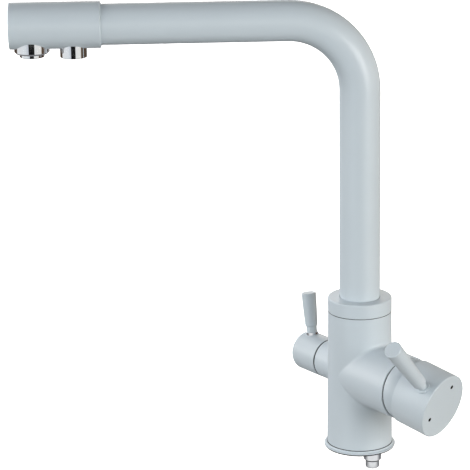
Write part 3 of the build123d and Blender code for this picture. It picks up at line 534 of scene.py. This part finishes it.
cardLook = {
    "start": (0.70, 0.75),
    "end": (1.70, 1.80),
    "far": (0.35, 0.35, 0.35),
    "closeBack": (0.25, 0.25, 0.26),
    "closeFront": (1.0, 1.0, 1.0),
    "closeFacing": (0.0, 0.55),
    "stops": [
        (0.0, (0.60, 0.60, 0.60)),
        (0.08, (0.50, 0.49, 0.48)),
        (0.13, (0.09, 0.06, 0.04)),
        (0.200, (0.09, 0.06, 0.04)),
        (0.215, (1.0, 1.0, 1.0)),
        (0.38, (0.93, 0.97, 1.0)),
        (0.449, (0.72, 0.76, 0.82)),
        (0.454, (0.004, 0.004, 0.005)),
        (0.553, (0.004, 0.004, 0.005)),
        (0.559, (1.0, 1.0, 0.98)),
        (0.683, (1.0, 0.98, 0.93)),
        (0.692, (0.12, 0.08, 0.055)),
        (0.86, (0.09, 0.06, 0.04)),
        (0.92, (0.50, 0.49, 0.48)),
        (1.0, (0.60, 0.60, 0.60)),
    ],
}


def cardColour(finish, look):
    outlets = middleOf("aerator_mouth", "drinking_nozzle")
    way = wayFrom(finish, Vector((outlets.x, outlets.y, 0)))
    distance = lengthOf(finish, way)
    rightward = along(finish, way, cameraRight)
    angle = finish.maths("ARCTAN2", rightward, along(finish, way, cameraFront))
    place = finish.share(angle, -math.pi, math.pi)
    cards = finish.node("ShaderNodeValToRGB", {"stops": look["stops"]}, {"Fac": place}, "Color")
    nipple = middleOf("filter_inlet_nipple")
    closeWay = wayFrom(finish, Vector((nipple.x, nipple.y, 0)))
    closeUnit = vectorMaths(finish, "NORMALIZE", {0: closeWay})
    facing = finish.share(along(finish, closeUnit, cameraFront), *look["closeFacing"])
    close = finish.blendColours(facing, opaque(look["closeBack"]), opaque(look["closeFront"]))
    inside = finish.blendColours(finish.share(distance, *look["start"]), close, cards)
    return finish.blendColours(finish.share(distance, *look["end"]), inside, opaque(look["far"]))


# Floor: it glows white to the camera and keeps the tap's shadow. Its glow and its bounced light
# go from the first level to the second over their reach, in metres from the tap.

floorLook = {
    "drop": 0.0003,
    "size": 12.0,
    "sides": 64,
    "dark": (244, 244, 243),
    "light": (250, 250, 250),
    "dustScale": 3.0,
    "glow": (0.9, 1.0),
    "glowReach": (0.6, 2.2),
    "bounce": (0.35, 0.1),
    "bounceReach": (0.03, 0.18),
}


def fading(finish, distance, reach, levels):
    return finish.blendColours(finish.share(distance, *reach), grey(levels[0]), grey(levels[1]))


def makeFloorFinish(look):
    finish = newFinish("paleFloor")
    fromTap = lengthOf(finish, wayFrom(finish, Vector()))
    dust = finish.noise(look["dustScale"], detail=2.0)
    pale = finish.blendColours(dust, linear(*look["dark"]), linear(*look["light"]))
    lit = finish.node("ShaderNodeBsdfDiffuse", {}, {"Color": pale})
    white = fading(finish, fromTap, look["glowReach"], look["glow"])
    glow = finish.node("ShaderNodeEmission", {}, {"Color": white})
    seen = finish.node("ShaderNodeAddShader", {}, {0: lit, 1: glow})
    board = fading(finish, fromTap, look["bounceReach"], look["bounce"])
    bounced = finish.node("ShaderNodeBsdfDiffuse", {}, {"Color": board})
    inMetal = finish.node("ShaderNodeEmission", {}, {"Color": cardColour(finish, cardLook)})
    inGloss = lightPath(finish, "Is Glossy Ray")
    unseen = finish.node("ShaderNodeMixShader", {}, {0: inGloss, 1: bounced, 2: inMetal})
    straight = seenStraight(finish)
    mixed = finish.node("ShaderNodeMixShader", {}, {0: straight, 1: unseen, 2: seen})
    finish.node("ShaderNodeOutputMaterial", {}, {"Surface": mixed})
    return finish.owner


def buildFloor(look):
    shape = bmesh.new()
    bmesh.ops.create_circle(shape, cap_ends=True, segments=look["sides"], radius=look["size"])
    lowest = min(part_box(name)[0].z for name in frame["nodes"])
    bmesh.ops.translate(shape, verts=shape.verts, vec=(0, 0, lowest - look["drop"]))
    floor = meshObject("floor", shape, makeFloorFinish(look))


# Lamps: square soft boxes that aim at the camera's aim point. Each has its turn to the right of
# the camera's side and its lift from level in degrees, its watts and its colour.

lampLook = {
    "size": 1.0,
    "reach": 2.0,
    "unmirrored": ("right", "backRight", "highBackRight"),  # these would glare on the spout's top
    "lamps": [
        ("front", 0, 5, 6.2, (1.0, 0.97, 0.86)),
        ("frontRight", 45, 5, 31.5, (1.0, 0.99, 0.97)),
        ("right", 90, 5, 15.0, (1.0, 0.88, 0.74)),
        ("backRight", 135, 5, 3.5, (1.0, 0.95, 0.88)),
        ("left", -90, 5, 14.6, (1.0, 0.98, 0.94)),
        ("frontLeft", -45, 5, 13.8, (0.98, 1.0, 1.0)),
        ("highFront", 0, 25, 1.2, (0.8, 0.95, 1.0)),
        ("back", 180, 5, 4.0, (0.98, 0.99, 1.0)),
        ("highBack", 180, 25, 4.8, (1.0, 0.95, 0.88)),
        ("highBackRight", 135, 25, 2.0, (1.0, 0.92, 0.8)),
        ("highBackLeft", -135, 25, 12.7, (1.0, 0.98, 0.97)),
        ("highLeft", -90, 25, 13.4, (1.0, 0.97, 0.95)),
        ("highFrontLeft", -45, 25, 1.4, (0.7, 0.85, 1.0)),
        ("topFrontLeft", -45, 50, 2.5, (0.8, 0.85, 1.0)),
    ],
}


def addLamp(look, name, turn, lift, watts, colour):
    side = math.radians(turn)
    up = math.radians(lift)
    level = cameraFront * math.cos(side) + cameraRight * math.sin(side)
    way = level * math.cos(up) + Vector((0, 0, math.sin(up)))
    data = bpy.data.lights.new(name, "AREA")
    data.shape = "SQUARE"
    data.size = look["size"]
    data.energy = watts
    data.color = colour
    lamp = addObject(name, data)
    lamp.location = Vector(cameraView["aim"]) + way * look["reach"]
    lamp.rotation_euler = (-way).to_track_quat("-Z", "Y").to_euler()
    lamp.visible_camera = False
    lamp.visible_glossy = name not in look["unmirrored"]


buildWorld(worldLook)
buildFloor(floorLook)
for lampSettings in lampLook["lamps"]:
    addLamp(lampLook, *lampSettings)
bpy.context.scene.view_settings.view_transform = "Standard"
print("studio built")
